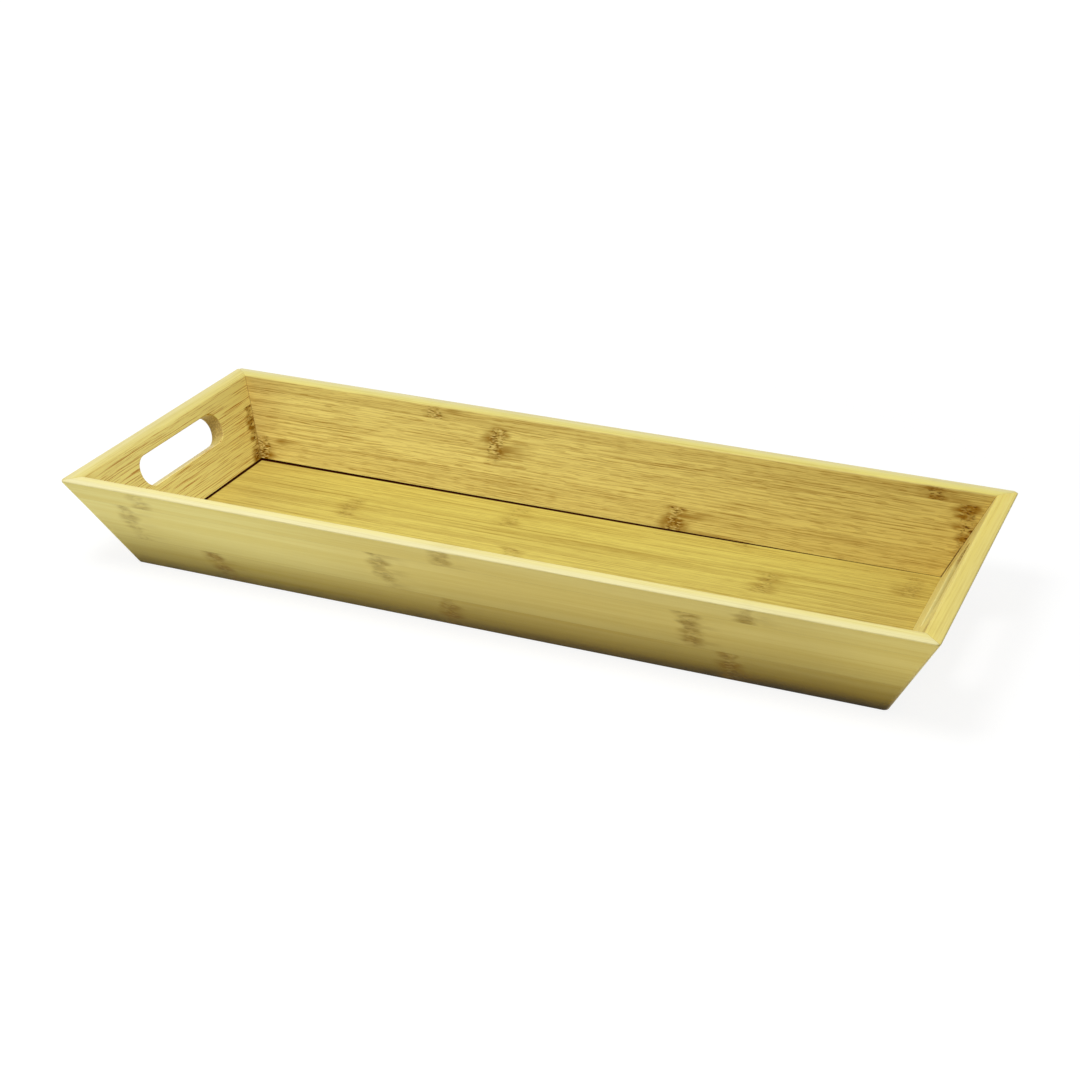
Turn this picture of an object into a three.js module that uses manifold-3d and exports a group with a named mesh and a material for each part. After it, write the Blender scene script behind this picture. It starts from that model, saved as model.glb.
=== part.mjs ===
// A bamboo serving tray: four walls that lean outward, mitred at the corners, round a floor held in a groove.
// Each board is glued up from bamboo strips laid edge to edge, and every strip is a solid of its own.
// Millimetres, +Z up, +X along the tray. The origin is the middle of the tray's footprint on the table.

import * as THREE from "three";
import { mergeVertices } from "three/addons/utils/BufferGeometryUtils.js";
import Module from "manifold-3d";

// Over the rim, before its edges are eased
const LENGTH = 450;
const WIDTH = 180;
const HEIGHT = 52;

// Walls
const WALL_LEAN = THREE.MathUtils.degToRad(26.5); // outward from upright, the same on all four
const WALL_THICKNESS = 8.5; // square to the faces of the board
const RIM_EASE = 1.6; // how far back from a rim edge its rounding starts, on both faces
const EASE_SEGMENTS = 4;

// Bamboo strips that the boards are glued up from. The first strip was ripped narrow, the rest are alike.
const WALL_STRIP_COUNT = 3;
const LONG_WALL_RIM_STRIP = 7.3; // what is left of a long wall's top strip, on the inner face
const FLOOR_STRIP_COUNT = 6;
const FLOOR_BACK_STRIP = 8.5; // what is left of the floor's rear strip
const GLUE_LINE = 0.1;

// Hand slots in the end walls, cut square to the board
const SLOT_LENGTH = 79.5;
const SLOT_WIDTH = 17;
const SLOT_BELOW_RIM = 7.5; // along the inner face
const SLOT_ARC_SEGMENTS = 12;

// Floor panel and the groove that traps it
const FLOOR_THICKNESS = 5;
const FLOOR_ABOVE_TABLE = 5.5; // underside of the panel at its left end
const FLOOR_RISE = 0.8; // the panel sits a little skew: its right end is this much higher
const FLOOR_FACE_CLEARANCE = 0.15; // above and below the panel, where it comes closest to the groove
const FLOOR_EDGE_CLEARANCE = 0.5; // room for the panel to swell
const GROOVE_DEPTH = 3; // level, from the inner face at the groove's upper lip

// Hidden splines in the corner mitres
const SPLINE_THICKNESS = 2.5;
const SPLINE_WIDTH = 7; // half of it in each wall
const SPLINE_SETBACK = 6; // in height, below the rim and above the groove
const SPLINE_CLEARANCE = 0.15;

const OVERCUT = 2; // how far a cutting solid passes the faces that it cuts

const STRIP_COLOURS = [0xd2b977, 0xcdb06a, 0xd6bd74];
const FLOOR_COLOURS = [0xd3bd68, 0xd8c26c];
const SPLINE_COLOUR = 0xb5935a;
const BAMBOO_ROUGHNESS = 0.55;

const leanSin = Math.sin(WALL_LEAN);
const leanCos = Math.cos(WALL_LEAN);
const leanTan = Math.tan(WALL_LEAN);
const wallAcross = WALL_THICKNESS / leanCos; // level thickness, as the rim shows it
const wallSlant = HEIGHT / leanCos; // rim to base along a face
const grooveBottom = FLOOR_ABOVE_TABLE - FLOOR_FACE_CLEARANCE;
const grooveTop = FLOOR_ABOVE_TABLE + FLOOR_THICKNESS + FLOOR_RISE + FLOOR_FACE_CLEARANCE;
const endWallRimStrip = SLOT_BELOW_RIM + SLOT_WIDTH / 2; // a seam runs along the middle of the slot

const wasm = await Module();
wasm.setup();

function toSolid(geometry) {
  const bare = geometry.clone();
  bare.deleteAttribute("normal");
  bare.deleteAttribute("uv");
  const merged = mergeVertices(bare);
  const vertProperties = new Float32Array(merged.attributes.position.array);
  const triVerts = new Uint32Array(merged.index.array);
  return new wasm.Manifold(new wasm.Mesh({ numProp: 3, vertProperties, triVerts }));
}

function toGeometry(solid) {
  const { vertProperties, triVerts } = solid.getMesh();
  const geometry = new THREE.BufferGeometry();
  geometry.setAttribute("position", new THREE.BufferAttribute(vertProperties, 3));
  geometry.setIndex(new THREE.BufferAttribute(triVerts, 1));
  geometry.computeVertexNormals();
  return geometry;
}

function bambooMesh(name, geometry, color) {
  const material = new THREE.MeshStandardMaterial({ color, roughness: BAMBOO_ROUGHNESS, metalness: 0 });
  const mesh = new THREE.Mesh(geometry, material);
  mesh.name = name;
  return mesh;
}

// Start and end of each strip across a board, from the edge where the first strip was ripped narrow
function stripSpans(boardWidth, firstStrip, count) {
  const fullStrip = (boardWidth - firstStrip) / (count - 1);
  const spans = [{ start: 0, end: firstStrip }];
  for (let seam = 1; seam < count; seam += 1) {
    const start = firstStrip + (seam - 1) * fullStrip + GLUE_LINE;
    spans.push({ start, end: seam === count - 1 ? boardWidth : firstStrip + seam * fullStrip });
  }
  return spans;
}

// A wall is made in its own frame: X along it, Y level and outward from the tray's middle, Z up.
// Its reach is how far its outer rim edge lies from the tray's middle.
function innerFace(reach, height) {
  return reach - wallAcross - (HEIGHT - height) * leanTan;
}

// A point of the wall's section: down the board from the inner rim edge, and out through its thickness
function sectionPoint(reach, down, out) {
  const outward = innerFace(reach, HEIGHT) - down * leanSin + out * leanCos;
  const height = HEIGHT - down * leanCos - out * leanSin;
  return new THREE.Vector2(outward, height);
}

// Draw the section on towards a corner, round it and stop where the rounding ends
function easeCorner(section, before, corner, after) {
  const start = before.clone().sub(corner).setLength(RIM_EASE).add(corner);
  const end = after.clone().sub(corner).setLength(RIM_EASE).add(corner);
  section.lineTo(start.x, start.y);
  section.quadraticCurveTo(corner.x, corner.y, end.x, end.y);
}

// The level cuts of rim and base cross the thickness, so the outer face starts and ends higher up the board
function stripSection(reach, span) {
  const levelCut = WALL_THICKNESS * leanTan;
  const atRim = span.start === 0;
  const atBase = span.end === wallSlant;
  const innerLow = sectionPoint(reach, span.end, 0);
  const outerLow = sectionPoint(reach, atBase ? span.end - levelCut : span.end, WALL_THICKNESS);
  const outerHigh = sectionPoint(reach, atRim ? -levelCut : span.start, WALL_THICKNESS);
  const innerHigh = sectionPoint(reach, span.start, 0);
  if (!atRim) {
    return new THREE.Shape([innerLow, outerLow, outerHigh, innerHigh]);
  }
  const section = new THREE.Shape();
  section.moveTo(innerLow.x, innerLow.y);
  section.lineTo(outerLow.x, outerLow.y);
  easeCorner(section, outerLow, outerHigh, innerHigh);
  easeCorner(section, outerHigh, innerHigh, innerLow);
  return section;
}

// A bar of that section, with both ends on the upright mitre planes, less half a glue line
function mitredBar(section, mitreOffset) {
  const settings = { depth: 1, curveSegments: EASE_SEGMENTS, bevelEnabled: false };
  const bar = new THREE.ExtrudeGeometry(section, settings);
  const points = bar.attributes.position;
  for (let index = 0; index < points.count; index += 1) {
    const outward = points.getX(index);
    const height = points.getY(index);
    const end = points.getZ(index) === 0 ? -1 : 1;
    points.setXYZ(index, end * (outward + mitreOffset - GLUE_LINE * Math.SQRT1_2), outward, height);
  }
  return bar;
}

function grooveCut(reach, mitreOffset) {
  const halfAcross = innerFace(reach, grooveTop) + GROOVE_DEPTH;
  const halfAlong = halfAcross + mitreOffset;
  const cut = new THREE.BoxGeometry(2 * halfAlong, 2 * halfAcross, grooveTop - grooveBottom);
  cut.translate(0, 0, (grooveTop + grooveBottom) / 2);
  return cut;
}

function handSlotCut(reach) {
  const radius = SLOT_WIDTH / 2;
  const arcCentre = SLOT_LENGTH / 2 - radius;
  const outline = new THREE.Shape();
  outline.absarc(arcCentre, 0, radius, -Math.PI / 2, Math.PI / 2);
  outline.absarc(-arcCentre, 0, radius, Math.PI / 2, 1.5 * Math.PI);
  const depth = WALL_THICKNESS + 2 * OVERCUT;
  const settings = { depth, curveSegments: SLOT_ARC_SEGMENTS, bevelEnabled: false };
  const cut = new THREE.ExtrudeGeometry(outline, settings);
  const along = new THREE.Vector3(-1, 0, 0);
  const upTheBoard = new THREE.Vector3(0, leanSin, leanCos);
  const outOfTheBoard = new THREE.Vector3(0, leanCos, -leanSin);
  const middle = sectionPoint(reach, SLOT_BELOW_RIM + radius, -OVERCUT);
  const place = new THREE.Matrix4().makeBasis(along, upTheBoard, outOfTheBoard);
  place.setPosition(0, middle.x, middle.y);
  return cut.applyMatrix4(place);
}

const splineLow = grooveTop + SPLINE_SETBACK;
const splineHigh = HEIGHT - SPLINE_SETBACK;
const cornerSlope = new THREE.Vector3(leanTan, leanTan, 1).length(); // length of corner for each mm of height

function splineBlock(clearance) {
  const length = (splineHigh - splineLow) * cornerSlope;
  return new THREE.BoxGeometry(
    SPLINE_WIDTH + 2 * clearance,
    SPLINE_THICKNESS + 2 * clearance,
    length + 2 * clearance,
  );
}

// Where a spline lies in the wall's frame: it crosses the mitre squarely and follows the slope of the corner.
// Its edges drift outward as they enter the walls, so it crosses the mitre nearer the inner faces.
function splinePlace(reach, mitreOffset, end) {
  const acrossMitre = new THREE.Vector3(end, -1, 0).normalize();
  const upTheCorner = new THREE.Vector3(end * leanTan, leanTan, 1).normalize();
  const throughWall = upTheCorner.clone().cross(acrossMitre);
  const drift = (SPLINE_WIDTH / 2) * Math.SQRT1_2;
  const height = (splineLow + splineHigh) / 2;
  const outward = innerFace(reach, height) + (wallAcross - drift) / 2;
  const place = new THREE.Matrix4().makeBasis(acrossMitre, throughWall, upTheCorner);
  return place.setPosition(end * (outward + mitreOffset), outward, height);
}

function stripName(index, count) {
  if (index === 0) {
    return "rim_strip";
  }
  if (index === count - 1) {
    return "base_strip";
  }
  return index === 1 ? "middle_strip" : `middle_strip_${index}`;
}

function makeWall({ name, turn, reach, otherReach, rimStrip, handSlot, splines }) {
  const wall = new THREE.Group();
  wall.rotation.z = turn;
  const mitreOffset = otherReach - reach;
  const spans = stripSpans(wallSlant, rimStrip, WALL_STRIP_COUNT);
  const cuts = [grooveCut(reach, mitreOffset)];
  for (const end of [-1, 1]) {
    cuts.push(splineBlock(SPLINE_CLEARANCE).applyMatrix4(splinePlace(reach, mitreOffset, end)));
  }
  if (handSlot) {
    cuts.push(handSlotCut(reach));
  }
  const cutSolids = cuts.map(toSolid);
  spans.forEach((span, index) => {
    let strip = toSolid(mitredBar(stripSection(reach, span), mitreOffset));
    for (const cut of cutSolids) {
      strip = strip.subtract(cut);
    }
    const colour = STRIP_COLOURS[index % STRIP_COLOURS.length];
    wall.add(bambooMesh(`${name}_${stripName(index, spans.length)}`, toGeometry(strip), colour));
  });
  for (const { end, splineName } of splines) {
    const spline = bambooMesh(splineName, splineBlock(0), SPLINE_COLOUR);
    spline.applyMatrix4(splinePlace(reach, mitreOffset, end));
    wall.add(spline);
  }
  return wall;
}

function makeFloor() {
  const length = 2 * (innerFace(LENGTH / 2, grooveTop) + GROOVE_DEPTH - FLOOR_EDGE_CLEARANCE);
  const width = 2 * (innerFace(WIDTH / 2, grooveTop) + GROOVE_DEPTH - FLOOR_EDGE_CLEARANCE);
  const floor = new THREE.Group();
  floor.position.set(-length / 2, 0, FLOOR_ABOVE_TABLE);
  floor.rotation.y = -Math.asin(FLOOR_RISE / length);
  stripSpans(width, FLOOR_BACK_STRIP, FLOOR_STRIP_COUNT).forEach((span, index) => {
    const block = new THREE.BoxGeometry(length, span.end - span.start, FLOOR_THICKNESS);
    const colour = FLOOR_COLOURS[index % FLOOR_COLOURS.length];
    const strip = bambooMesh(`floor_strip_${index + 1}`, block, colour);
    strip.position.set(length / 2, width / 2 - (span.start + span.end) / 2, FLOOR_THICKNESS / 2);
    floor.add(strip);
  });
  return floor;
}

const longReach = { reach: WIDTH / 2, otherReach: LENGTH / 2 };
const endReach = { reach: LENGTH / 2, otherReach: WIDTH / 2 };
const longWall = { ...longReach, rimStrip: LONG_WALL_RIM_STRIP, handSlot: false };
const endWall = { ...endReach, rimStrip: endWallRimStrip, handSlot: true, splines: [] };

// A wall turned half round has its ends swapped, so the front wall's left end is its +X end
const frontSplines = [
  { end: 1, splineName: "front_left_spline" },
  { end: -1, splineName: "front_right_spline" },
];
const backSplines = [
  { end: -1, splineName: "back_left_spline" },
  { end: 1, splineName: "back_right_spline" },
];

const tray = new THREE.Group();
tray.name = "bamboo_serving_tray";
tray.add(
  makeWall({ name: "front_wall", turn: Math.PI, ...longWall, splines: frontSplines }),
  makeWall({ name: "back_wall", turn: 0, ...longWall, splines: backSplines }),
  makeWall({ name: "left_wall", turn: Math.PI / 2, ...endWall }),
  makeWall({ name: "right_wall", turn: -Math.PI / 2, ...endWall }),
  makeFloor(),
);

export default tray;
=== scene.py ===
"""A bamboo serving tray: the finished strips of its walls and floor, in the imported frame. Metres, +Z up."""

import math

import bmesh
import bpy
from mathutils import Matrix, Vector


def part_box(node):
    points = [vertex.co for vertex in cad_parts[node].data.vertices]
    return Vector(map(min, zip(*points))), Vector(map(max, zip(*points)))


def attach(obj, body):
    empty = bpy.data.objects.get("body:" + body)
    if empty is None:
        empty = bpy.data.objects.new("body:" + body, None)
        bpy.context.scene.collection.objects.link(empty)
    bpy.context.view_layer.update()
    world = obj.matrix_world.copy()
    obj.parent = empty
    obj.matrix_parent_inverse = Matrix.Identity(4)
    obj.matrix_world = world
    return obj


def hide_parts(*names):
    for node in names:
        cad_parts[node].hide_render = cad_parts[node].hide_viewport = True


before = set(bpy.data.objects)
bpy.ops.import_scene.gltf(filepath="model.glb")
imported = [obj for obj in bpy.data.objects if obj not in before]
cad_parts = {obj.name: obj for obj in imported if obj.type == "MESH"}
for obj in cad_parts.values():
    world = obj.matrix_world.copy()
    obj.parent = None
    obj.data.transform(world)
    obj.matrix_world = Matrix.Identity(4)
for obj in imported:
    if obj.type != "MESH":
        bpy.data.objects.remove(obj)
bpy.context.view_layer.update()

MM = 0.001

# Driving sizes, the same as the CAD part's
LENGTH = 450 * MM
WIDTH = 180 * MM
HEIGHT = 52 * MM
WALL_LEAN = math.radians(26.5)
WALL_THICKNESS = 8.5 * MM
RIM_EASE = 1.6 * MM
LONG_WALL_RIM_STRIP = 7.3 * MM
SLOT_LENGTH = 79.5 * MM
SLOT_WIDTH = 17 * MM
SLOT_BELOW_RIM = 7.5 * MM
FLOOR_THICKNESS = 5 * MM
FLOOR_ABOVE_TABLE = 5.5 * MM
FLOOR_RISE = 0.8 * MM
FLOOR_FACE_CLEARANCE = 0.15 * MM
GROOVE_DEPTH = 3 * MM
GLUE_LINE = 0.1 * MM

# Finish of the edges, finer than the CAD part holds
EASE_STEPS = 8
BASE_EASE = 0.5 * MM
SLOT_EASE = 0.6 * MM
SLOT_EASE_STEPS = 5
SLOT_ARC_STEPS = 32
CORNER_EASE = 2.4 * MM
CORNER_STEPS = 5
CORNER_DIP = 0.6  # how much of the corners' easing also lowers their rim
OVERCUT = 2 * MM
SHARP_ANGLE = math.radians(32)

# Camera, fitted to the tray's edges in the photograph
CAMERA_AZIMUTH = math.radians(22.34)
CAMERA_ELEVATION = math.radians(25.005)
CAMERA_ROLL = math.radians(0.428)
CAMERA_DISTANCE = 1.0581
CAMERA_RIGHT = 1.1 * MM
CAMERA_UP = 19.7 * MM
CAMERA_LENS = 68.554
SENSOR_WIDTH = 36
CLIP_START = 0.01
CLIP_END = 100

# Light
SKY_LEVEL = 0.42
SKY_LOWEST = 0.15
SKY_FULL = 0.90
LAMP_LEVEL = 0.78
LAMP_PLACE = (-0.13, -0.30, 0.85)
LAMP_SIZE = 0.45
TABLE_SIZE = 24.0
TABLE_BELOW = 0.1 * MM
TABLE_ALBEDO = 0.97
TABLE_GLOW = 0.88
TABLE_SHADE = 0.20
TABLE_NEAR = 0.30
TABLE_FAR = 0.60

lean_sin = math.sin(WALL_LEAN)
lean_cos = math.cos(WALL_LEAN)
lean_tan = math.tan(WALL_LEAN)
wall_across = WALL_THICKNESS / lean_cos
wall_slant = HEIGHT / lean_cos
groove_bottom = FLOOR_ABOVE_TABLE - FLOOR_FACE_CLEARANCE
groove_top = FLOOR_ABOVE_TABLE + FLOOR_THICKNESS + FLOOR_RISE + FLOOR_FACE_CLEARANCE
end_wall_rim_strip = SLOT_BELOW_RIM + SLOT_WIDTH / 2


def srgb(red, green, blue):
    """A colour as it looks on screen, 0 to 255, as linear light."""
    linear = []
    for level in (red, green, blue):
        share = level / 255
        linear.append(share / 12.92 if share <= 0.04045 else ((share + 0.055) / 1.055) ** 2.4)
    return (*linear, 1.0)


# Bamboo colours, light and dark fibres
LONG_WALL_INNER = (srgb(248, 228, 132), srgb(178, 141, 59))
# The end walls' inner colours are paler than the long walls': partly their own tone, partly painted light
LEFT_WALL_INNER = (srgb(255, 240, 147), srgb(186, 120, 24))
RIGHT_WALL_INNER = (srgb(254, 242, 158), srgb(234, 208, 122))
WALL_OUTER = (srgb(255, 243, 157), srgb(234, 213, 111))
FLOOR = (srgb(236, 217, 109), srgb(181, 149, 60))
SPLINE = (srgb(206, 172, 104), srgb(150, 112, 58))
STAIN = srgb(150, 105, 4)
OUTER_STAIN = srgb(150, 114, 6)
PIT = srgb(104, 67, 0)
FLECK = srgb(244, 220, 138)
RIM_PALE = srgb(244, 238, 199)
END_GRAIN = (srgb(206, 180, 104), srgb(176, 146, 78))
GLUE = srgb(140, 104, 50)
# Painted shadow inside the groove and in the gap round the floor
GROOVE_SHADOW = srgb(64, 12, 0)
# Painted shadow of an opened mitre's crack, which the mesh does not have
OPEN_MITRE_SHADOW = srgb(84, 50, 8)

# Tints that darken or lift a colour, in linear light; most of them are painted light and shade
# Painted shade: the lamp's light falling off along a wall, inside and outside
FALLOFF_SHADE = (0.87, 0.81, 0.68, 1.0)
OUTER_FALLOFF_SHADE = (0.87, 0.81, 0.70, 1.0)
# Painted shade in a wall's inner corner at one end
INNER_CORNER_SHADE = (0.85, 0.80, 0.78, 1.0)
OUTER_LIFT = (1.15, 1.15, 1.12, 1.0)
# Painted shade near the floor's ends, partly a browner tone
FLOOR_END_SHADE_AND_TONE = (0.88, 0.84, 0.86, 1.0)
# Painted shade towards the foot of the outer faces, and darker along their lower edge
FOOT_SHADE = (0.45, 0.385, 0.17, 1.0)
FOOT_EDGE_SHADE = (0.16, 0.145, 0.06, 1.0)
# Painted light: lifts the rim where the painted falloff darkens the rest
RIM_FALLOFF_LIFT = (1.12, 1.12, 1.02, 1.0)
RIM_FIBRE = (0.78, 0.72, 0.56, 1.0)

# Fibre layers: size in mm along, across and through the strip, detail, where their noise turns dark, mean
FIBRES = {
    "Pores": ((8, 0.52, 2), 0.0, 0.55, 0.66, 0.22),
    "Hairs": ((60, 0.62, 3), 0.0, 0.53, 0.63, 0.27),
    "Lines": ((28, 0.80, 3), 0.0, 0.45, 0.58, 0.45),
    "Threads": ((120, 1.1, 4), 1.0, 0.54, 0.70, 0.15),
    "Streaks": ((110, 2.6, 5), 1.0, 0.34, 0.68, 0.45),
    "Bands": ((180, 8, 9), 2.0, 0.30, 0.70, 0.56),
}

EDGE_FINENESS = 4.0  # how many times closer they lie through the strip
FIBRE_SHIFT = (173.0, 59.0, 31.0)  # how far one seed moves them, in mm

# How far fibres wander across the strip, in mm, slowly and quickly
FIBRE_DRIFT = 1.2
FIBRE_DRIFT_SIZE = (90, 18, 18)
FIBRE_WIGGLE = 0.5
FIBRE_WIGGLE_SIZE = (16, 6, 6)

# Mean tone of the fibres, then the contrasts of their layers
LONG_WALL_GRAIN = (0.29, 0.33, 0.34, 0.18, 0.16, 0.05, 0.12)
LEFT_WALL_GRAIN = (0.05, 0.28, 0.55, 0.66, 0.18, 0.08, 0.14)
RIGHT_WALL_GRAIN = (0.30, 0.10, 0.18, 0.00, 0.12, 0.08, 0.16)
OUTER_GRAIN = (0.42, 0.05, 0.08, 0.00, 0.10, 0.18, 0.38)
FLOOR_GRAIN = (0.34, 0.22, 0.30, 0.00, 0.33, 0.25, 0.24)
RIM_GRAIN = (0.13, 0.10, 0.26, 0.12, 0.22, 0.20, 0.25)

# Ring marks: sizes of their noises in mm, and the levels between which a noise turns into a mark
RING_SHIFT = (61.0, 23.0, 17.0)
RING_BEND = 7.0
BEND_SIZE = (400, 7, 9)
PATCH_SIZE = (30, 5.5, 400)
PATCH_LEVELS = (0.36, 0.62)
BLOTCH_SIZE = (9, 3.5, 5)
BLOTCH_LEVELS = (0.36, 0.60)
SMEAR_SIZE = (24, 4.5, 7)
SMEAR_LEVELS = (0.44, 0.66)
SPECK_SIZE = (2.6, 0.75, 1.0)
PIT_LEVELS = (0.46, 0.37)
FLECK_LEVELS = (0.54, 0.63)

# Ring marks: distances in mm over which their parts fade, and strengths
REACH_FADE = 5.0
RING_CORE = (5.5, 2.5)
RING_SHOULDER = (9.0, 2.0)
SHOULDER_NARROWEST = 0.6
SHOULDER_WIDENING = 0.8
TRAIL_START = (-4.0, 3.0)
TRAIL_END = (26.0, 4.0)
PATCHINESS = 0.6
EVEN_STAIN = 0.28
BLOTCH_STAIN = 0.65
PIT_SHARE = 0.85

# Shapes of rings: width, and strength of the stain's trail
USUAL_RINGS = (1.0, 0.75)
FRONT_RINGS = (0.75, 0.40)
LEFT_RINGS = (0.6, 0.75)

# Inner colours, inner grain, rim colour and how pale it turns outward, fineness of fibres, shape of rings
WALL_LOOKS = {
    "front": (LONG_WALL_INNER, LONG_WALL_GRAIN, srgb(247, 236, 163), 0.6, 1.0, FRONT_RINGS),
    "back": (LONG_WALL_INNER, LONG_WALL_GRAIN, srgb(250, 238, 142), 0.6, 1.1, USUAL_RINGS),
    "left": (LEFT_WALL_INNER, LEFT_WALL_GRAIN, srgb(234, 219, 131), 0.4, 1.5, LEFT_RINGS),
    "right": (RIGHT_WALL_INNER, RIGHT_WALL_GRAIN, srgb(250, 230, 123), 0.1, 1.0, USUAL_RINGS),
}

# Where a wall's painted shading fades in, in halves of its length from its middle
FALLOFF_SPAN = (-0.3, 1.0)
OUTER_FALLOFF_SPAN = (-0.67, 0.13)
OUTER_LIFT_SPAN = (0.69, 0.96)
# Painted shade in the inner corner at one end
INNER_CORNER_SHADE_SPAN = (-0.78, -0.91)

# The same in mm through the board, down its face or from the mitre
OUTER_SPAN = (0.3, 3.0)
# Painted shade towards the foot, and along the lower edge
FOOT_SHADE_SPAN = (11.0, 58.0)
FOOT_EDGE_SHADE_SPAN = (45.0, 54.5)
RIM_PALE_SPAN = (2.5, 6.5)
SEAM_SPAN = (0.25, 0.02)
# Where the groove's painted shadow lies through the board
GROOVE_MOUTH = (0.1, 0.4)
GROOVE_BACK = (4.5, 4.0)
MITRE_SPAN = (0.40, 0.05)
INNER_MITRE_DOWN = (0.8, 2.0)
INNER_MITRE_THROUGH = (1.5, 0.3)
# Where the painted shadow of the opened mitre lies
OPEN_MITRE_SPAN = (0.8, 0.5)
OPEN_MITRE_ALONG = (0.0, 1.0)
OPEN_MITRE_DOWN = (26.0, 32.0)
OPEN_MITRE_THROUGH = (1.0, 0.3)

# The same in height, below the rim and round the groove's edges
RIM_SPAN = (1.2 * MM, 0.2 * MM)
GROOVE_BLUR = 0.05 * MM

# How strongly they show, and the size in mm of the noise that makes the foot's painted shade uneven
FOOT_SHADE_FALLOFF = 0.2
LEFT_FOOT_EDGE_SHADE = 0.30
FOOT_EDGE_SHADE_NOISE = 0.8
FOOT_EDGE_SHADE_NOISE_SIZE = (14, 30, 30)
RIM_SHARE = 0.85
SEAM_SHARE = 0.3
MITRE_SHARE = 0.2
INNER_MITRE_SHARE = 0.4
OPEN_MITRE_SHARE = 0.75
OUTER_PIT_LOSS = 0.55

# Cut ends of the fibres
END_GRAIN_SHARE = 0.85
END_FACING = (0.25, 0.85)
END_DOT_SIZE = (9, 0.8, 0.8)
END_DOT_LEVELS = (0.42, 0.60)

# The floor's darker ends, partly painted shade near the end walls, and the painted shadow in the open gap at
# its edges, which closes towards the right
FLOOR_RIGHT_END = (0.11, 0.20)
FLOOR_LEFT_END = (-0.12, -0.19)
GAP_CLOSING = (0.16, 0.03)
LEFT_GAP = 0.95 * MM
SIDE_GAP = 1.60 * MM
CLOSED_GAP = 0.05 * MM
GAP_BLUR = (1.0, 0.6)

# Satin lacquer, and how deep fibres and pits lie in it
ROUGHNESS = 0.36
FIBRE_ROUGHNESS = 0.10
SPECULAR_LEVEL = 0.12
BUMP_STRENGTH = 0.25
BUMP_DEPTH = 0.06 * MM
HAIR_DENT = 0.2
THREAD_DENT = 0.35
PIT_DENT = 0.8

SPLINE_SEED = 40.0


class Graph:
    """Adds linked nodes to one node tree. A value is a number, a tuple or another node's output."""

    def __init__(self, tree):
        self.tree = tree

    def add(self, kind, inputs, output=0, **settings):
        node = self.tree.nodes.new(kind)
        for name, value in settings.items():
            setattr(node, name, value)
        for key, value in inputs.items():
            if isinstance(value, bpy.types.NodeSocket):
                self.tree.links.new(value, node.inputs[key])
            else:
                node.inputs[key].default_value = value
        return node.outputs[output]

    def math(self, operation, *values, clamp=False):
        return self.add("ShaderNodeMath", dict(enumerate(values)), operation=operation, use_clamp=clamp)

    def product(self, first, *others):
        for value in others:
            first = self.math("MULTIPLY", first, value)
        return first

    def vector(self, operation, *values):
        output = "Value" if operation in ("DOT_PRODUCT", "LENGTH") else "Vector"
        return self.add("ShaderNodeVectorMath", dict(enumerate(values)), output, operation=operation)

    def parts(self, vector):
        """Its X, Y and Z."""
        return self.add("ShaderNodeSeparateXYZ", {"Vector": vector}).node.outputs

    def step(self, value, low, high):
        """0 below low, 1 above high, smooth between them. With low above high it falls instead."""
        inputs = {"Value": value, "From Min": low, "From Max": high}
        return self.add("ShaderNodeMapRange", inputs, interpolation_type="SMOOTHSTEP")

    def noise(self, place, size, detail=2.0):
        """Noise round 0.5, with features of the given size in mm along, across and through the board."""
        scaled = self.vector("MULTIPLY", place, tuple(1 / length for length in size))
        return self.add("ShaderNodeTexNoise", {"Vector": scaled, "Scale": 1.0, "Detail": detail})

    def mix(self, share, first, second, blend="MIX"):
        inputs = {0: share, 6: first, 7: second}
        return self.add("ShaderNodeMix", inputs, 2, data_type="RGBA", blend_type=blend)


def new_group(name, inputs, outputs):
    """A node group with float sockets, and Board as a vector. Returns its graph and its inputs by name."""
    tree = bpy.data.node_groups.new(name, "ShaderNodeTree")
    for socket in inputs:
        kind = "NodeSocketVector" if socket == "Board" else "NodeSocketFloat"
        tree.interface.new_socket(name=socket, in_out="INPUT", socket_type=kind)
    for socket in outputs:
        tree.interface.new_socket(name=socket, in_out="OUTPUT", socket_type="NodeSocketFloat")
    return Graph(tree), tree.nodes.new("NodeGroupInput").outputs


def close_group(graph, results):
    output = graph.tree.nodes.new("NodeGroupOutput")
    for name, value in results.items():
        graph.tree.links.new(value, output.inputs[name])
    return graph.tree


def make_fibre_group():
    """Fibres of a bamboo strip. Board is in mm along the fibres, across the strip and through it."""
    graph, given = new_group("bamboo_fibres", ["Board", "Seed"], FIBRES)
    shift = graph.vector("MULTIPLY", FIBRE_SHIFT, given["Seed"])
    place = graph.vector("ADD", given["Board"], shift)
    drift = graph.noise(place, FIBRE_DRIFT_SIZE, detail=1.0)
    drift = graph.math("MULTIPLY_ADD", drift, FIBRE_DRIFT, -FIBRE_DRIFT / 2)
    wiggle = graph.noise(place, FIBRE_WIGGLE_SIZE, detail=0.0)
    wiggle = graph.math("MULTIPLY_ADD", wiggle, FIBRE_WIGGLE, -FIBRE_WIGGLE / 2)
    wave = graph.add("ShaderNodeCombineXYZ", {"Y": graph.math("ADD", drift, wiggle)})
    fibre = graph.vector("ADD", place, wave)
    layers = {}
    for name, (size, detail, low, high, _) in FIBRES.items():
        layers[name] = graph.step(graph.noise(fibre, size, detail=detail), low, high)
    return close_group(graph, layers)


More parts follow.
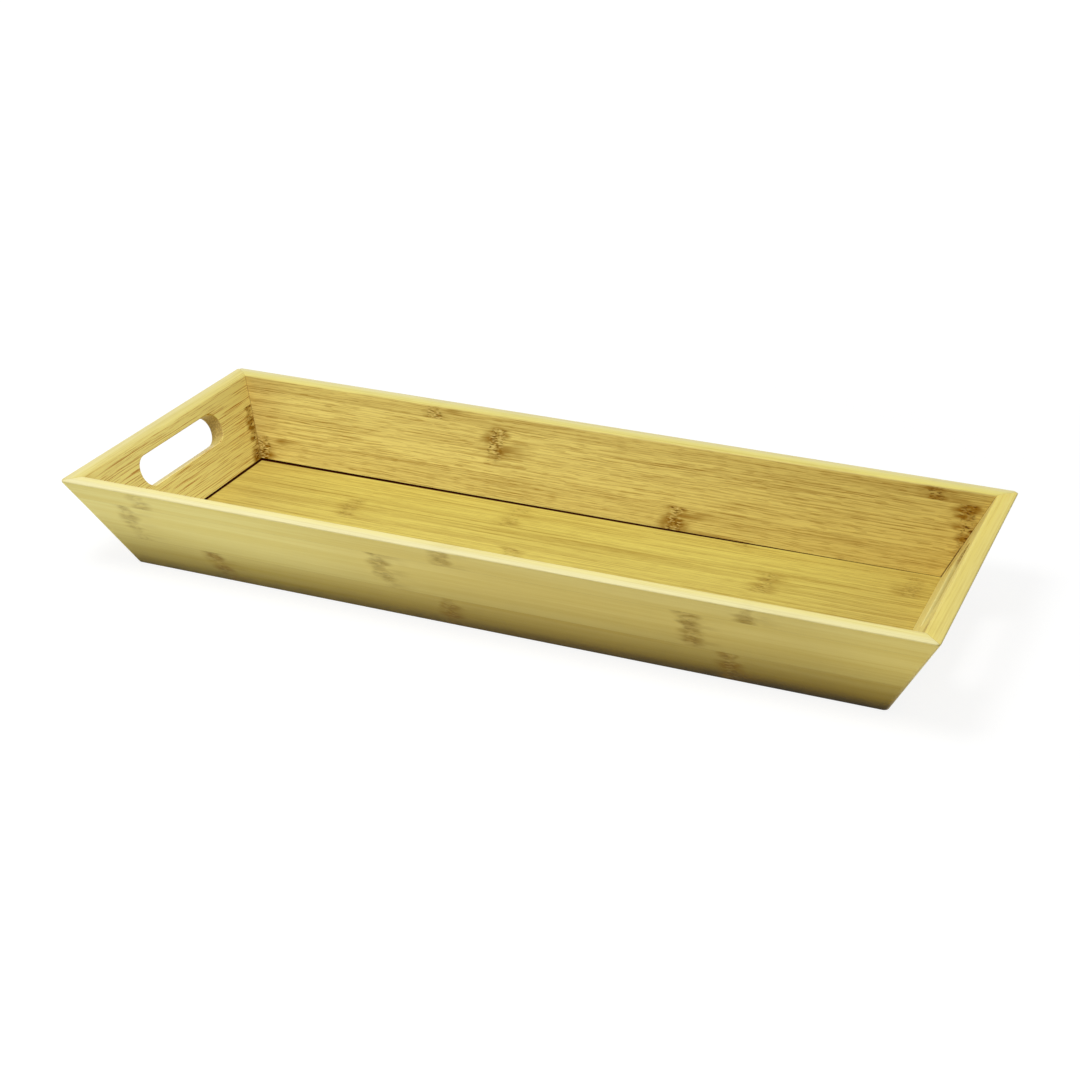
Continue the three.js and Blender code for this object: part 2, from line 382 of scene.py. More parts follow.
def make_ring_group():
    """The mark that a culm's joint leaves across a strip: pits, pale flecks and a stain that trails off."""
    settings = ["Place", "Start", "Reach", "Lean", "Width", "Trail", "Strength", "Fleck", "Seed"]
    graph, given = new_group("bamboo_ring", ["Board", *settings], ["Stain", "Pits", "Flecks"])
    middle = graph.add("ShaderNodeCombineXYZ", {"X": given["Place"], "Y": given["Start"]})
    from_middle = graph.vector("SUBTRACT", given["Board"], middle)
    shift = graph.vector("MULTIPLY", RING_SHIFT, given["Seed"])
    place = graph.vector("ADD", from_middle, shift)
    parts = graph.parts(from_middle)
    away = graph.math("SUBTRACT", parts["X"], graph.math("MULTIPLY", parts["Y"], given["Lean"]))
    away = graph.math("DIVIDE", away, given["Width"])
    bend = graph.math("SUBTRACT", graph.noise(place, BEND_SIZE), 0.5)
    away = graph.math("MULTIPLY_ADD", bend, RING_BEND, away)
    distance = graph.math("ABSOLUTE", away)
    beyond = graph.math("SUBTRACT", parts["Y"], given["Reach"])
    strength = graph.math("MULTIPLY", graph.step(beyond, 0.0, -REACH_FADE), given["Strength"])
    patchy = graph.step(graph.noise(place, PATCH_SIZE, detail=1.0), *PATCH_LEVELS)
    level = graph.math("MULTIPLY_ADD", patchy, PATCHINESS, 1 - PATCHINESS)
    level = graph.math("MULTIPLY", level, strength)
    core = graph.math("MULTIPLY", graph.step(distance, *RING_CORE), level)
    spread = graph.math("MULTIPLY_ADD", patchy, SHOULDER_WIDENING, SHOULDER_NARROWEST)
    shoulder = graph.step(graph.math("DIVIDE", distance, spread), *RING_SHOULDER)
    blotch = graph.step(graph.noise(place, BLOTCH_SIZE), *BLOTCH_LEVELS)
    blotch = graph.math("MULTIPLY_ADD", blotch, BLOTCH_STAIN, EVEN_STAIN)
    stain = graph.product(shoulder, level, blotch)
    tail = graph.math("MULTIPLY", graph.step(away, *TRAIL_END), graph.step(away, *TRAIL_START))
    smear = graph.step(graph.noise(place, SMEAR_SIZE), *SMEAR_LEVELS)
    trail = graph.product(tail, smear, strength, given["Trail"])
    stain = graph.math("MAXIMUM", stain, trail)
    specks = graph.noise(place, SPECK_SIZE, detail=1.0)
    pits = graph.product(graph.step(specks, *PIT_LEVELS), core, PIT_SHARE)
    flecks = graph.product(graph.step(specks, *FLECK_LEVELS), core, given["Fleck"])
    return close_group(graph, {"Stain": stain, "Pits": pits, "Flecks": flecks})


fibre_group = make_fibre_group()
ring_group = make_ring_group()


class Board:
    """A board's own directions, from its origin: along its fibres, across its face and through it."""

    def __init__(self, along, across, through, origin):
        self.along = along
        self.across = across
        self.through = through
        self.origin = origin

    def place(self, graph):
        """Board coordinates in mm."""
        point = graph.add("ShaderNodeTexCoord", {}, "Object")
        point = graph.vector("SUBTRACT", point, tuple(self.origin))
        axes = zip("XYZ", (self.along, self.across, self.through))
        parts = {name: graph.vector("DOT_PRODUCT", point, tuple(axis / MM)) for name, axis in axes}
        return graph.add("ShaderNodeCombineXYZ", parts)


def bamboo_graph(name):
    material = bpy.data.materials.new(name)
    material.use_nodes = True
    return material, Graph(material.node_tree), material.node_tree.nodes["Principled BSDF"]


def grain(graph, place, seed, fineness=1.0):
    """The fibre layers of a strip, by name. Fineness is how many times closer the fibres lie than usual."""
    place = graph.vector("MULTIPLY", place, (1.0, fineness, EDGE_FINENESS))
    node = graph.tree.nodes.new("ShaderNodeGroup")
    node.node_tree = fibre_group
    graph.tree.links.new(place, node.inputs["Board"])
    node.inputs["Seed"].default_value = seed
    return node.outputs


def ring(along, strength, seed, fleck=0.3, lean=0.0, reach=60.0):
    """A ring so many mm along its strip. Lean is its mm along per mm across, reach where it ends across."""
    mark = {"Place": along, "Strength": strength, "Seed": seed}
    return {**mark, "Fleck": fleck, "Lean": lean, "Reach": reach}


def ring_marks(graph, place, rings, start, shape=USUAL_RINGS):
    """Stain, pits and flecks of all the rings on a strip that starts that far across the board, in mm."""
    width, trail = shape
    totals = {"Stain": 0.0, "Pits": 0.0, "Flecks": 0.0}
    for settings in rings:
        node = graph.tree.nodes.new("ShaderNodeGroup")
        node.node_tree = ring_group
        graph.tree.links.new(place, node.inputs["Board"])
        shared = {"Start": start, "Width": width, "Trail": trail}
        for name, value in {**shared, **settings}.items():
            node.inputs[name].default_value = value
        for key in totals:
            totals[key] = graph.math("MAXIMUM", totals[key], node.outputs[key])
    return totals


def weighted(graph, parts, total=0.0):
    """Outputs times their weights on top of a total, kept between 0 and 1."""
    for output, weight in parts:
        total = graph.math("MULTIPLY_ADD", output, weight, total)
    return graph.math("ADD", total, 0.0, clamp=True)


def fibre_tone(graph, layers, grain_kind):
    """How dark the fibres are, 0 to 1, from their mean tone and the contrasts of their layers."""
    mean, *contrasts = grain_kind
    layer_means = [layer[-1] for layer in FIBRES.values()]
    rest = mean - sum(contrast * layer_mean for contrast, layer_mean in zip(contrasts, layer_means))
    parts = [(layers[name], contrast) for name, contrast in zip(FIBRES, contrasts)]
    return weighted(graph, parts, rest)


def stained(graph, colour, marks, brown, stain=STAIN):
    """The colour under a brown cast and the marks of the rings."""
    colour = graph.mix(brown, colour, stain)
    colour = graph.mix(marks["Stain"], colour, stain)
    colour = graph.mix(marks["Flecks"], colour, FLECK)
    return graph.mix(marks["Pits"], colour, PIT)


def end_grain(graph, board, place, colour):
    """Cut ends of the fibres are darker than their sides, and dotted."""
    normal = graph.add("ShaderNodeNewGeometry", {}, "Normal")
    facing = graph.math("ABSOLUTE", graph.vector("DOT_PRODUCT", normal, tuple(board.along)))
    dots = graph.step(graph.noise(place, END_DOT_SIZE, detail=1.0), *END_DOT_LEVELS)
    ends = graph.mix(dots, *END_GRAIN)
    share = graph.math("MULTIPLY", graph.step(facing, *END_FACING), END_GRAIN_SHARE)
    return graph.mix(share, colour, ends)


def finish_bamboo(graph, shader, colour, layers, marks):
    """Satin lacquer over the fibres: duller and a hair lower along the dark lines, dented at the pits."""
    graph.tree.links.new(colour, shader.inputs["Base Color"])
    roughness = graph.math("MULTIPLY_ADD", layers["Threads"], FIBRE_ROUGHNESS, ROUGHNESS)
    graph.tree.links.new(roughness, shader.inputs["Roughness"])
    shader.inputs["Specular IOR Level"].default_value = SPECULAR_LEVEL
    dents = [(layers["Hairs"], HAIR_DENT), (layers["Threads"], THREAD_DENT), (marks["Pits"], PIT_DENT)]
    height = graph.math("SUBTRACT", 1.0, weighted(graph, dents))
    bump = {"Strength": BUMP_STRENGTH, "Distance": BUMP_DEPTH, "Height": height}
    graph.tree.links.new(graph.add("ShaderNodeBump", bump), shader.inputs["Normal"])


def inner_wall_colour(graph, wall, layers, drift, half_lengths):
    """The rich inner face of a wall, with painted shade: darker towards one end as the lamp's light falls
    off, and in the corner at the other end.
    """
    colour = graph.mix(fibre_tone(graph, layers, wall.inner_grain), *wall.inner_tones)
    # Painted shade of the lamp's falloff towards one end
    colour = graph.mix(drift, colour, FALLOFF_SHADE, "MULTIPLY")
    # Painted shade in the corner at the other end
    corner = graph.step(half_lengths, *INNER_CORNER_SHADE_SPAN)
    return graph.mix(corner, colour, INNER_CORNER_SHADE, "MULTIPLY")


def outer_wall_colour(graph, place, parts, layers, drift, half_lengths):
    """The pale outer face of a wall, with painted shade: falling off along its length, browning it towards
    the foot, and a darker, uneven band along its lower edge. It turns lighter again near one end.
    """
    colour = graph.mix(fibre_tone(graph, layers, OUTER_GRAIN), *WALL_OUTER)
    # Painted falloff of the light along the outer face, eased again near one end
    fade = graph.step(half_lengths, *OUTER_FALLOFF_SPAN)
    colour = graph.mix(fade, colour, OUTER_FALLOFF_SHADE, "MULTIPLY")
    lift = graph.step(half_lengths, *OUTER_LIFT_SPAN)
    colour = graph.mix(lift, colour, OUTER_LIFT, "MULTIPLY")
    # Painted shade towards the foot, stronger where the light falls off
    foot = graph.step(parts["Y"], *FOOT_SHADE_SPAN)
    foot = graph.math("MULTIPLY", foot, graph.math("MULTIPLY_ADD", drift, FOOT_SHADE_FALLOFF, 1.0))
    colour = graph.mix(foot, colour, FOOT_SHADE, "MULTIPLY")
    # A darker, uneven band of painted shade along the lower edge
    uneven_shade = graph.math("MULTIPLY_ADD", graph.noise(place, FOOT_EDGE_SHADE_NOISE_SIZE), FOOT_EDGE_SHADE_NOISE, -FOOT_EDGE_SHADE_NOISE / 2)
    edge_shade = graph.math("MULTIPLY_ADD", drift, 1 - LEFT_FOOT_EDGE_SHADE, LEFT_FOOT_EDGE_SHADE)
    edge_shade = graph.math("ADD", edge_shade, uneven_shade)
    edge_shade = graph.math("MULTIPLY", graph.step(parts["Y"], *FOOT_EDGE_SHADE_SPAN), edge_shade, clamp=True)
    return graph.mix(edge_shade, colour, FOOT_EDGE_SHADE, "MULTIPLY")


def with_rim(graph, wall, parts, layers, drift, height, colour):
    """The colour under the rim's own one, paler outward, and lifted by painted light towards the end where
    the lamp's light falls off.
    """
    rim = graph.step(graph.math("SUBTRACT", HEIGHT, height), *RIM_SPAN)
    pale = graph.math("MULTIPLY", graph.step(parts["Z"], *RIM_PALE_SPAN), wall.rim_paleness)
    rim_colour = graph.mix(pale, wall.rim_tone, RIM_PALE)
    # Painted light that lifts the rim against the falloff
    rim_colour = graph.mix(drift, rim_colour, RIM_FALLOFF_LIFT, "MULTIPLY")
    rim_colour = graph.mix(fibre_tone(graph, layers, RIM_GRAIN), rim_colour, RIM_FIBRE, "MULTIPLY")
    return graph.mix(graph.math("MULTIPLY", rim, RIM_SHARE), colour, rim_colour)


def with_groove(graph, parts, height, colour):
    """The colour, with painted shadow inside the groove."""
    # Painted shadow inside the groove
    below_top = graph.step(height, groove_top + GROOVE_BLUR, groove_top - GROOVE_BLUR)
    above_bottom = graph.step(height, groove_bottom - GROOVE_BLUR, groove_bottom + GROOVE_BLUR)
    past_mouth = graph.step(parts["Z"], *GROOVE_MOUTH)
    before_back = graph.step(parts["Z"], *GROOVE_BACK)
    in_groove = graph.product(past_mouth, before_back, below_top, above_bottom)
    return graph.mix(in_groove, colour, GROOVE_SHADOW)


def with_mitres(graph, wall, parts, point, colour):
    """The colour with glue lines at both mitres, and painted shadow of a crack where the back wall's mitre on
    the right has opened; the mesh has no crack.
    """
    outward = graph.vector("DOT_PRODUCT", point, tuple(wall.outward / MM))
    reach = graph.math("ADD", outward, wall.mitre_offset / MM)
    from_mitre = graph.math("SUBTRACT", reach, graph.math("ABSOLUTE", parts["X"]))
    through = graph.step(parts["Z"], *INNER_MITRE_THROUGH)
    inside = graph.math("MULTIPLY", through, graph.step(parts["Y"], *INNER_MITRE_DOWN))
    share = graph.math("MULTIPLY_ADD", inside, INNER_MITRE_SHARE, MITRE_SHARE)
    mitre = graph.math("MULTIPLY", graph.step(from_mitre, *MITRE_SPAN), share)
    colour = graph.mix(mitre, colour, GLUE)
    # Painted shadow of a crack where this mitre has opened; the mesh has no crack
    if wall.name == "back":
        crack_shadow = graph.product(
            graph.step(from_mitre, *OPEN_MITRE_SPAN),
            graph.step(parts["X"], *OPEN_MITRE_ALONG),
            graph.step(parts["Y"], *OPEN_MITRE_DOWN),
            graph.step(parts["Z"], *OPEN_MITRE_THROUGH),
            OPEN_MITRE_SHARE,
        )
        colour = graph.mix(crack_shadow, colour, OPEN_MITRE_SHADOW)
    return colour


def wall_material(name, wall, span, traits):
    """A wall strip: richer on the inner face, pale and smooth on the outer one, palest on the rim."""
    material, graph, shader = bamboo_graph(name)
    place = wall.board.place(graph)
    parts = graph.parts(place)
    layers = grain(graph, place, traits["seed"], wall.fineness)
    marks = ring_marks(graph, place, traits["rings"], span[0] / MM, wall.ring_shape)
    outer = graph.step(parts["Z"], *OUTER_SPAN)
    sharp = graph.math("MULTIPLY_ADD", outer, -OUTER_PIT_LOSS, 1.0)
    for key in ("Pits", "Flecks"):
        marks[key] = graph.math("MULTIPLY", marks[key], sharp)
    half_lengths = graph.math("DIVIDE", parts["X"], wall.half_length / MM)
    # How far the painted falloff of the lamp's light has gone along the wall
    drift = graph.step(half_lengths, *FALLOFF_SPAN)
    inner_colour = inner_wall_colour(graph, wall, layers, drift, half_lengths)
    outer_colour = outer_wall_colour(graph, place, parts, layers, drift, half_lengths)
    colour = graph.mix(outer, inner_colour, outer_colour)
    colour = stained(graph, colour, marks, traits["brown"], graph.mix(outer, STAIN, OUTER_STAIN))
    colour = end_grain(graph, wall.board, place, colour)
    point = graph.add("ShaderNodeTexCoord", {}, "Object")
    height = graph.parts(point)["Z"]
    if span[0] == 0:
        colour = with_rim(graph, wall, parts, layers, drift, height, colour)
    else:
        seam = graph.step(graph.math("SUBTRACT", parts["Y"], span[0] / MM), *SEAM_SPAN)
        colour = graph.mix(graph.math("MULTIPLY", seam, SEAM_SHARE), colour, GLUE)
    if span[1] == wall_slant:
        colour = with_groove(graph, parts, height, colour)
    colour = with_mitres(graph, wall, parts, point, colour)
    finish_bamboo(graph, shader, colour, layers, marks)
    return material


def floor_material(name, board, traits):
    """A floor strip: more yellow than the walls, with painted shade at its ends and painted shadow where it
    runs into the groove.
    """
    material, graph, shader = bamboo_graph(name)
    place = board.place(graph)
    layers = grain(graph, place, traits["seed"])
    marks = ring_marks(graph, place, traits["rings"], 0)
    colour = graph.mix(fibre_tone(graph, layers, FLOOR_GRAIN), *FLOOR)
    colour = stained(graph, colour, marks, traits["brown"])
    axes = graph.parts(graph.add("ShaderNodeTexCoord", {}, "Object"))
    # Darker floor ends: painted shade near the end walls, partly a browner tone
    right_end = graph.step(axes["X"], *FLOOR_RIGHT_END)
    left_end = graph.step(axes["X"], *FLOOR_LEFT_END)
    colour = graph.mix(graph.math("MAXIMUM", right_end, left_end), colour, FLOOR_END_SHADE_AND_TONE, "MULTIPLY")
    colour = end_grain(graph, board, place, colour)
    # A band of painted shadow along the gap where the floor runs under the walls, wider towards the left
    shrink = graph.step(axes["X"], *GAP_CLOSING)
    for axis, reach, width in (("X", LENGTH / 2, LEFT_GAP), ("Y", WIDTH / 2, SIDE_GAP)):
        lip = inner_face(reach, groove_top)
        from_lip = graph.math("SUBTRACT", lip, graph.math("ABSOLUTE", axes[axis]))
        gap = graph.math("MULTIPLY_ADD", shrink, width, CLOSED_GAP)
        gap_shadow = graph.step(graph.math("DIVIDE", from_lip, gap), *GAP_BLUR)
        colour = graph.mix(gap_shadow, colour, GROOVE_SHADOW)
    finish_bamboo(graph, shader, colour, layers, marks)
    return material


def spline_material():
    """Unfinished bamboo of the hidden splines."""
    material, graph, shader = bamboo_graph("spline_bamboo")
    board = Board(Vector((0, 0, 1)), Vector((1, 0, 0)), Vector((0, 1, 0)), Vector())
    place = board.place(graph)
    layers = grain(graph, place, SPLINE_SEED)
    marks = ring_marks(graph, place, [ring(20, 0.2, SPLINE_SEED)], 0)
    colour = graph.mix(fibre_tone(graph, layers, LONG_WALL_GRAIN), *SPLINE)
    finish_bamboo(graph, shader, colour, layers, marks)
    return material


def inner_face(reach, height):
    """How far a wall's inner face lies from the tray's middle at that height."""
    return reach - wall_across - (HEIGHT - height) * lean_tan


class Wall:
    """One leaning wall: its outward direction, and how far its rim and the next walls' rims reach out."""

    def __init__(self, name, outward, reach, other_reach, rim_strip):
        self.name = name
        self.inner_tones, self.inner_grain, *rest = WALL_LOOKS[name]
        self.rim_tone, self.rim_paleness, self.fineness, self.ring_shape = rest
        self.half_length = other_reach
        self.outward = Vector(outward)
        self.along = Vector((abs(outward[1]), abs(outward[0]), 0))
        self.mitre_offset = other_reach - reach
        self.reach = reach
        full_strip = (wall_slant - rim_strip) / 2
        self.seams = [0, rim_strip, rim_strip + full_strip, wall_slant]
        up = Vector((0, 0, 1))
        down_the_board = -lean_sin * self.outward - lean_cos * up
        out_of_the_board = lean_cos * self.outward - lean_sin * up
        inner_rim = self.outward * inner_face(reach, HEIGHT) + up * HEIGHT
        self.board = Board(self.along, down_the_board, out_of_the_board, inner_rim)

    def section_point(self, down, out):
        """Outward distance and height of a point of the section."""
        outward = inner_face(self.reach, HEIGHT) - down * lean_sin + out * lean_cos
        return Vector((outward, HEIGHT - down * lean_cos - out * lean_sin))

    def point(self, along, outward, height):
        return self.along * along + self.outward * outward + Vector((0, 0, height))


def eased_corner(before, corner, after, ease):
    """Points of a rounded corner, from the side that comes before it to the side after it."""
    start = corner + (before - corner).normalized() * ease
    end = corner + (after - corner).normalized() * ease
    points = []
    for step in range(EASE_STEPS + 1):
        share = step / EASE_STEPS
        points.append(start * (1 - share) ** 2 + corner * 2 * share * (1 - share) + end * share ** 2)
    return points


def strip_section(wall, start, end):
    """A wall strip's section: level cuts with eased edges at rim and base, and the groove in the base."""
    level_cut = WALL_THICKNESS * lean_tan
    at_rim = start == 0
    at_base = end == wall_slant
    inner_low = wall.section_point(end, 0)
    outer_low = wall.section_point(end - level_cut if at_base else end, WALL_THICKNESS)
    outer_high = wall.section_point(-level_cut if at_rim else start, WALL_THICKNESS)
    inner_high = wall.section_point(start, 0)
    corners = [inner_low, outer_low, outer_high, inner_high]
    eases = [BASE_EASE * at_base, BASE_EASE * at_base, RIM_EASE * at_rim, RIM_EASE * at_rim]
    outline = []
    for index, (corner, ease) in enumerate(zip(corners, eases)):
        if ease:
            outline += eased_corner(corners[index - 1], corner, corners[(index + 1) % 4], ease)
        else:
            outline.append(corner)
    if at_base:
        back = inner_face(wall.reach, groove_top) + GROOVE_DEPTH
        for height in (groove_top, groove_bottom):
            mouth = Vector((inner_face(wall.reach, height), height))
            foot = Vector((back, height))
            outline += [mouth, foot] if height == groove_top else [foot, mouth]
    return outline


def mesh_object(name, bm):
    bmesh.ops.recalc_face_normals(bm, faces=bm.faces)
    mesh = bpy.data.meshes.new(name)
    bm.to_mesh(mesh)
    bm.free()
    piece = bpy.data.objects.new(name, mesh)
    bpy.context.scene.collection.objects.link(piece)
    return piece


def loft(name, outlines):
    """A closed solid through outlines, each with as many points, with a flat cap on both ends."""
    bm = bmesh.new()
    loops = [[bm.verts.new(point) for point in outline] for outline in outlines]
    count = len(loops[0])
    for first, second in zip(loops, loops[1:]):
        for index in range(count):
            following = (index + 1) % count
            bm.faces.new((first[index], first[following], second[following], second[index]))
    bm.faces.new(reversed(loops[0]))
    bm.faces.new(loops[-1])
    return mesh_object(name, bm)


def smooth(piece):
    """Round stretches shade smooth and flat faces stay flat."""
    mesh = piece.data
    mesh.polygons.foreach_set("use_smooth", [True] * len(mesh.polygons))
    mesh.set_sharp_from_angle(angle=SHARP_ANGLE)
    even = piece.modifiers.new("even_normals", "WEIGHTED_NORMAL")
    even.keep_sharp = True


def slot_cutter(wall):
    """The hand slot as a solid, straight through the board and flared at both mouths for eased edges."""
    levels = [(-OVERCUT, SLOT_EASE)]
    for step in range(SLOT_EASE_STEPS + 1):
        turn = math.pi / 2 * step / SLOT_EASE_STEPS
        levels.append((SLOT_EASE * (1 - math.cos(turn)), SLOT_EASE * (1 - math.sin(turn))))
    levels += [(WALL_THICKNESS - depth, flare) for depth, flare in reversed(levels)]
    radius = SLOT_WIDTH / 2
    arc_centre = SLOT_LENGTH / 2 - radius
    middle = wall.board.origin + wall.board.across * (SLOT_BELOW_RIM + radius)
    outlines = []
    for depth, flare in levels:
        outline = []
        for side in (1, -1):
            for step in range(SLOT_ARC_STEPS + 1):
                turn = math.pi * (step / SLOT_ARC_STEPS - 0.5)
                along = side * (arc_centre + (radius + flare) * math.cos(turn))
                across = side * (radius + flare) * math.sin(turn)
                offset = wall.along * along + wall.board.across * across + wall.board.through * depth
                outline.append(middle + offset)
        outlines.append(outline)
    return loft(wall.name + "_slot_cutter", outlines)


def cut(piece, cutter):
    """Takes the cutter's solid out of the piece."""
    difference = piece.modifiers.new("slot", "BOOLEAN")
    difference.operation = "DIFFERENCE"
    difference.solver = "EXACT"
    difference.object = cutter
    bpy.context.view_layer.update()
    shown = piece.evaluated_get(bpy.context.evaluated_depsgraph_get())
    carved = bpy.data.meshes.new_from_object(shown)
    piece.modifiers.clear()
    piece.data = carved


def place_piece(piece, node, material):
    """The piece stands for a CAD node and wears the material."""
    piece.data.materials.clear()
    piece.data.materials.append(material)
    smooth(piece)
    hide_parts(node)
    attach(piece, "root")


def corner_outline(wall, section, end, turn):
    """The section where the rounded corner has turned that far, up to the mitre at an eighth of a turn."""
    back_off = CORNER_EASE * (math.cos(turn) - math.sin(turn))
    shave = CORNER_EASE * (1 - math.cos(turn))
    outline = []
    for outward, height in section:
        inset = wall.reach - (HEIGHT - height) * lean_tan - outward
        share = max(0, 1 - inset / (2 * CORNER_EASE))
        top_share = max(0, 1 - (HEIGHT - height) / (2 * CORNER_EASE))
        outward -= shave * share
        along = end * (outward + wall.mitre_offset - back_off)
        outline.append(wall.point(along, outward, height - shave * share * top_share * CORNER_DIP))
    return outline


def make_wall(wall, looks, has_slot):
    cutter = slot_cutter(wall) if has_slot else None
    for index, part in enumerate(("rim", "middle", "base")):
        span = (wall.seams[index], wall.seams[index + 1])
        section = strip_section(wall, *span)
        turns = [math.pi / 4 * step / CORNER_STEPS for step in range(CORNER_STEPS + 1)]
        outlines = [corner_outline(wall, section, -1, turn) for turn in reversed(turns)]
        outlines += [corner_outline(wall, section, 1, turn) for turn in turns]
        node = f"{wall.name}_wall_{part}_strip"
        piece = loft("finished_" + node, outlines)
        if has_slot and part != "base":
            cut(piece, cutter)
        place_piece(piece, node, wall_material(node, wall, span, looks[index]))
    if cutter:
        bpy.data.objects.remove(cutter)


def make_floor(looks):
    names = [f"floor_strip_{index + 1}" for index in range(len(looks))]
    for index, (node, traits) in enumerate(zip(names, looks)):
        low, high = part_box(node)
        front = low.y - (GLUE_LINE / 2 if index < len(names) - 1 else 0)
        back = high.y + (GLUE_LINE / 2 if index > 0 else 0)
        outlines = []
        for end, rise in ((low.x, 0), (high.x, FLOOR_RISE)):
            bottom = FLOOR_ABOVE_TABLE + rise
            top = bottom + FLOOR_THICKNESS
            section = ((front, bottom), (back, bottom), (back, top), (front, top))
            outlines.append([(end, y, z) for y, z in section])
        piece = loft("finished_" + node, outlines)
        origin = Vector((0, back, high.z))
        board = Board(Vector((1, 0, 0)), Vector((0, -1, 0)), Vector((0, 0, -1)), origin)
        place_piece(piece, node, floor_material(node, board, traits))


def make_camera():
    back = Vector((
        math.sin(CAMERA_AZIMUTH) * math.cos(CAMERA_ELEVATION),
        -math.cos(CAMERA_AZIMUTH) * math.cos(CAMERA_ELEVATION),
        math.sin(CAMERA_ELEVATION),
    ))
    level = Vector((math.cos(CAMERA_AZIMUTH), math.sin(CAMERA_AZIMUTH), 0))
    rise = back.cross(level)
    place = back * CAMERA_DISTANCE + level * CAMERA_RIGHT + rise * CAMERA_UP
    right = level * math.cos(CAMERA_ROLL) + rise * math.sin(CAMERA_ROLL)
    data = bpy.data.cameras.new("camera")
    data.lens = CAMERA_LENS
    data.sensor_width = SENSOR_WIDTH
    data.clip_start = CLIP_START
    data.clip_end = CLIP_END
    camera = bpy.data.objects.new("camera", data)
    turn = Matrix((right, back.cross(right), back)).transposed().to_4x4()
    camera.matrix_world = Matrix.Translation(place) @ turn
    bpy.context.scene.collection.objects.link(camera)
    bpy.context.scene.camera = camera


def seen_directly(graph):
    """1 for rays from the camera, and for those that gloss or glass sends on, else 0."""
    rays = graph.tree.nodes.new("ShaderNodeLightPath").outputs
    seen = graph.math("MAXIMUM", rays["Is Camera Ray"], rays["Is Glossy Ray"])
    return graph.math("MAXIMUM", seen, rays["Is Transmission Ray"])


def make_sky():
    """White where it is seen, and a dimmer fill as light."""
    world = bpy.data.worlds.new("sky")
    world.use_nodes = True
    bpy.context.scene.world = world
    graph = Graph(world.node_tree)
    background = world.node_tree.nodes["Background"]
    background.inputs["Color"].default_value = (1, 1, 1, 1)
    direction = graph.add("ShaderNodeTexCoord", {}, "Generated")
    up = graph.parts(direction)["Z"]
    fill = graph.math("MULTIPLY", graph.step(up, SKY_LOWEST, SKY_FULL), SKY_LEVEL)
    level = graph.math("MAXIMUM", seen_directly(graph), fill)
    graph.tree.links.new(level, background.inputs["Strength"])


def make_table():
    """A pale table that reads as white and keeps a soft shadow."""
    bm = bmesh.new()
    bmesh.ops.create_grid(bm, x_segments=1, y_segments=1, size=TABLE_SIZE / 2)
    table = mesh_object("table", bm)
    table.location.z = -TABLE_BELOW
    material = bpy.data.materials.new("table_white")
    material.use_nodes = True
    material.cycles.emission_sampling = "NONE"
    material.node_tree.nodes.clear()
    graph = Graph(material.node_tree)
    shade = graph.add("ShaderNodeBsdfDiffuse", {"Color": (TABLE_SHADE, TABLE_SHADE, TABLE_SHADE, 1)})
    point = graph.add("ShaderNodeTexCoord", {}, "Object")
    away = graph.vector("LENGTH", point)
    far = graph.step(away, TABLE_NEAR, TABLE_FAR)
    level = graph.math("MULTIPLY_ADD", far, 1 - TABLE_GLOW, TABLE_GLOW)
    glow = graph.add("ShaderNodeEmission", {"Color": (1, 1, 1, 1), "Strength": level})
    seen = graph.add("ShaderNodeAddShader", {0: shade, 1: glow})
    bounce = graph.add("ShaderNodeBsdfDiffuse", {"Color": (TABLE_ALBEDO, TABLE_ALBEDO, TABLE_ALBEDO, 1)})
    either = graph.add("ShaderNodeMixShader", {0: seen_directly(graph), 1: bounce, 2: seen})
    output = graph.tree.nodes.new("ShaderNodeOutputMaterial")
    graph.tree.links.new(either, output.inputs["Surface"])
    table.data.materials.append(material)


def make_lamp():
    """One soft lamp overhead, nearer to the left end. Its level is how bright white paper looks below."""
    data = bpy.data.lights.new("overhead", "AREA")
    data.shape = "DISK"
    data.size = LAMP_SIZE
    data.energy = LAMP_LEVEL * (math.pi * LAMP_PLACE[2]) ** 2
    lamp = bpy.data.objects.new("overhead", data)
    lamp.location = LAMP_PLACE
    bpy.context.scene.collection.objects.link(lamp)


make_camera()
make_sky()
make_table()
make_lamp()

long_wall = (WIDTH / 2, LENGTH / 2, LONG_WALL_RIM_STRIP)
end_wall = (LENGTH / 2, WIDTH / 2, end_wall_rim_strip)
front_wall = Wall("front", (0, -1, 0), *long_wall)
back_wall = Wall("back", (0, 1, 0), *long_wall)
left_wall = Wall("left", (-1, 0, 0), *end_wall)
right_wall = Wall("right", (1, 0, 0), *end_wall)


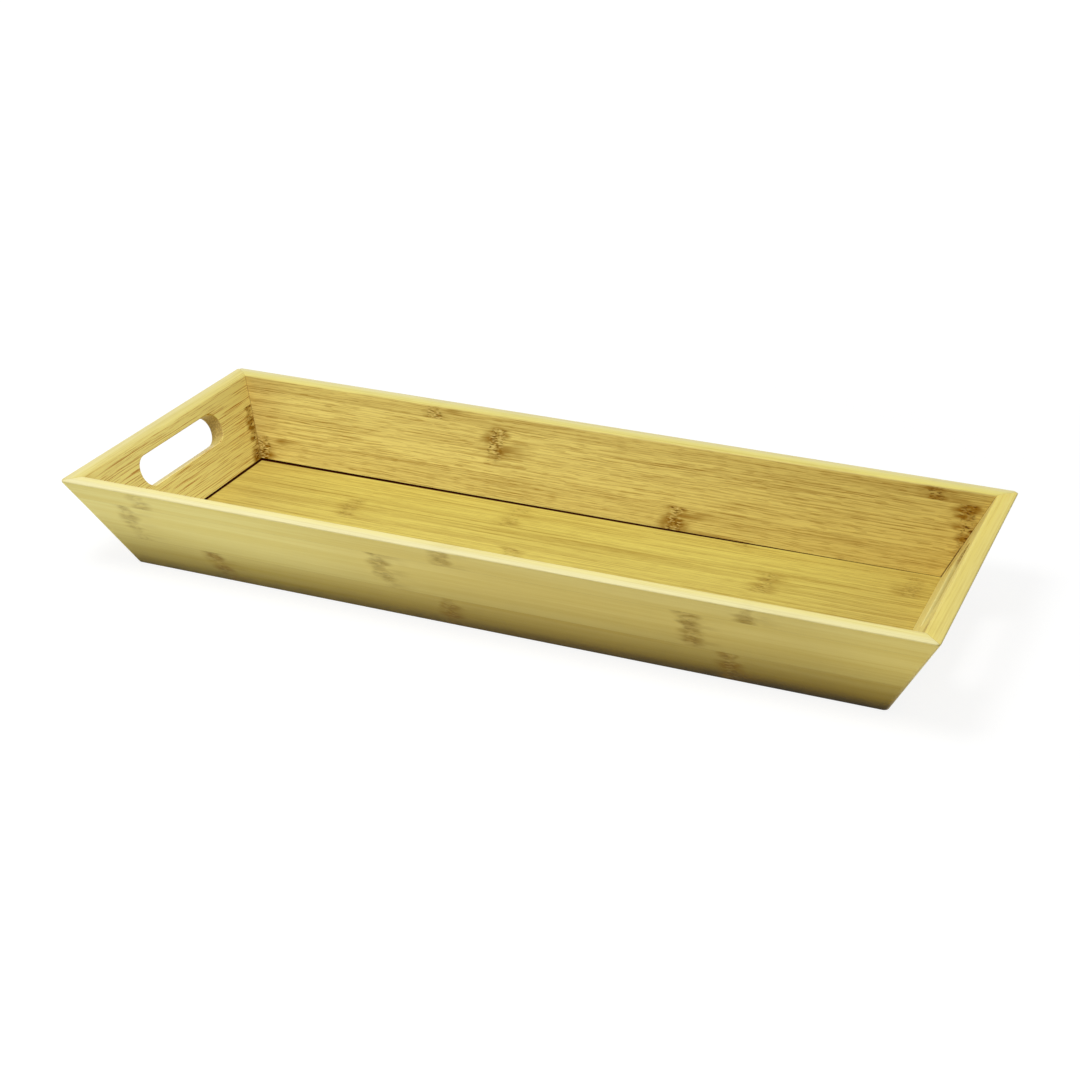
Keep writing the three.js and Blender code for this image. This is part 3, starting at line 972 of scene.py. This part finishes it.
def look(seed, brown, *rings):
    """How one strip differs from the next: its own fibres, a brown cast, and its rings."""
    return {"seed": float(seed), "brown": brown, "rings": rings}


# Strips from the rim down. Rings are where the photograph shows them, and guessed on faces it hides.
make_wall(front_wall, [
    look(1, 0.00, ring(-180, 0.42, 1), ring(-13, 0.55, 11), ring(137, 0.70, 44)),
    look(2, 0.00, ring(-192, 0.50, 12, lean=0.15), ring(-51, 0.72, 40, lean=0.2), ring(108, 0.80, 29)),
    look(3, 0.04, ring(-147, 0.85, 11, lean=0.2), ring(-17, 0.85, 2), ring(125, 1.05, 31)),
], has_slot=False)
make_wall(back_wall, [
    look(4, 0.15, ring(-95, 1.00, 2, fleck=0.8), ring(186, 0.95, 13, fleck=0.15)),
    look(5, 0.00, ring(-55, 1.00, 11, fleck=0.7, reach=21.0), ring(203, 1.15, 3, fleck=0.2)),
    look(6, 0.11, ring(-196, 1.30, 2, fleck=0.6), ring(52, 1.00, 31, fleck=0.6)),
], has_slot=False)
make_wall(left_wall, [
    look(7, 0.00, ring(-88, 0.50, 5)),
    look(21, 0.00, ring(70.4, 1.30, 40, fleck=0.1, lean=-lean_sin)),
    look(9, 0.00, ring(61, 1.20, 11, fleck=0.2, lean=-lean_sin)),
], has_slot=True)
make_wall(right_wall, [
    look(10, 0.00, ring(-72, 0.60, 1)),
    look(11, 0.00, ring(52, 0.60, 19)),
    look(12, 0.00, ring(-30, 0.60, 15)),
], has_slot=True)
make_floor([
    look(13, 0.02, ring(90, 0.35, 46)),
    look(14, 0.00, ring(-32, 0.40, 19), ring(185, 0.45, 15)),
    look(15, 0.05, ring(-118, 0.45, 23), ring(115, 0.50, 29)),
    look(16, 0.02, ring(-16, 0.45, 32)),
    look(17, 0.00, ring(-140, 0.45, 40), ring(84, 0.45, 19)),
    look(18, 0.03, ring(30, 0.45, 29)),
])

splines = spline_material()
for corner in ("front_left", "front_right", "back_left", "back_right"):
    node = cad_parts[corner + "_spline"]
    node.data.materials.clear()
    node.data.materials.append(splines)

bpy.context.scene.view_settings.view_transform = "Standard"
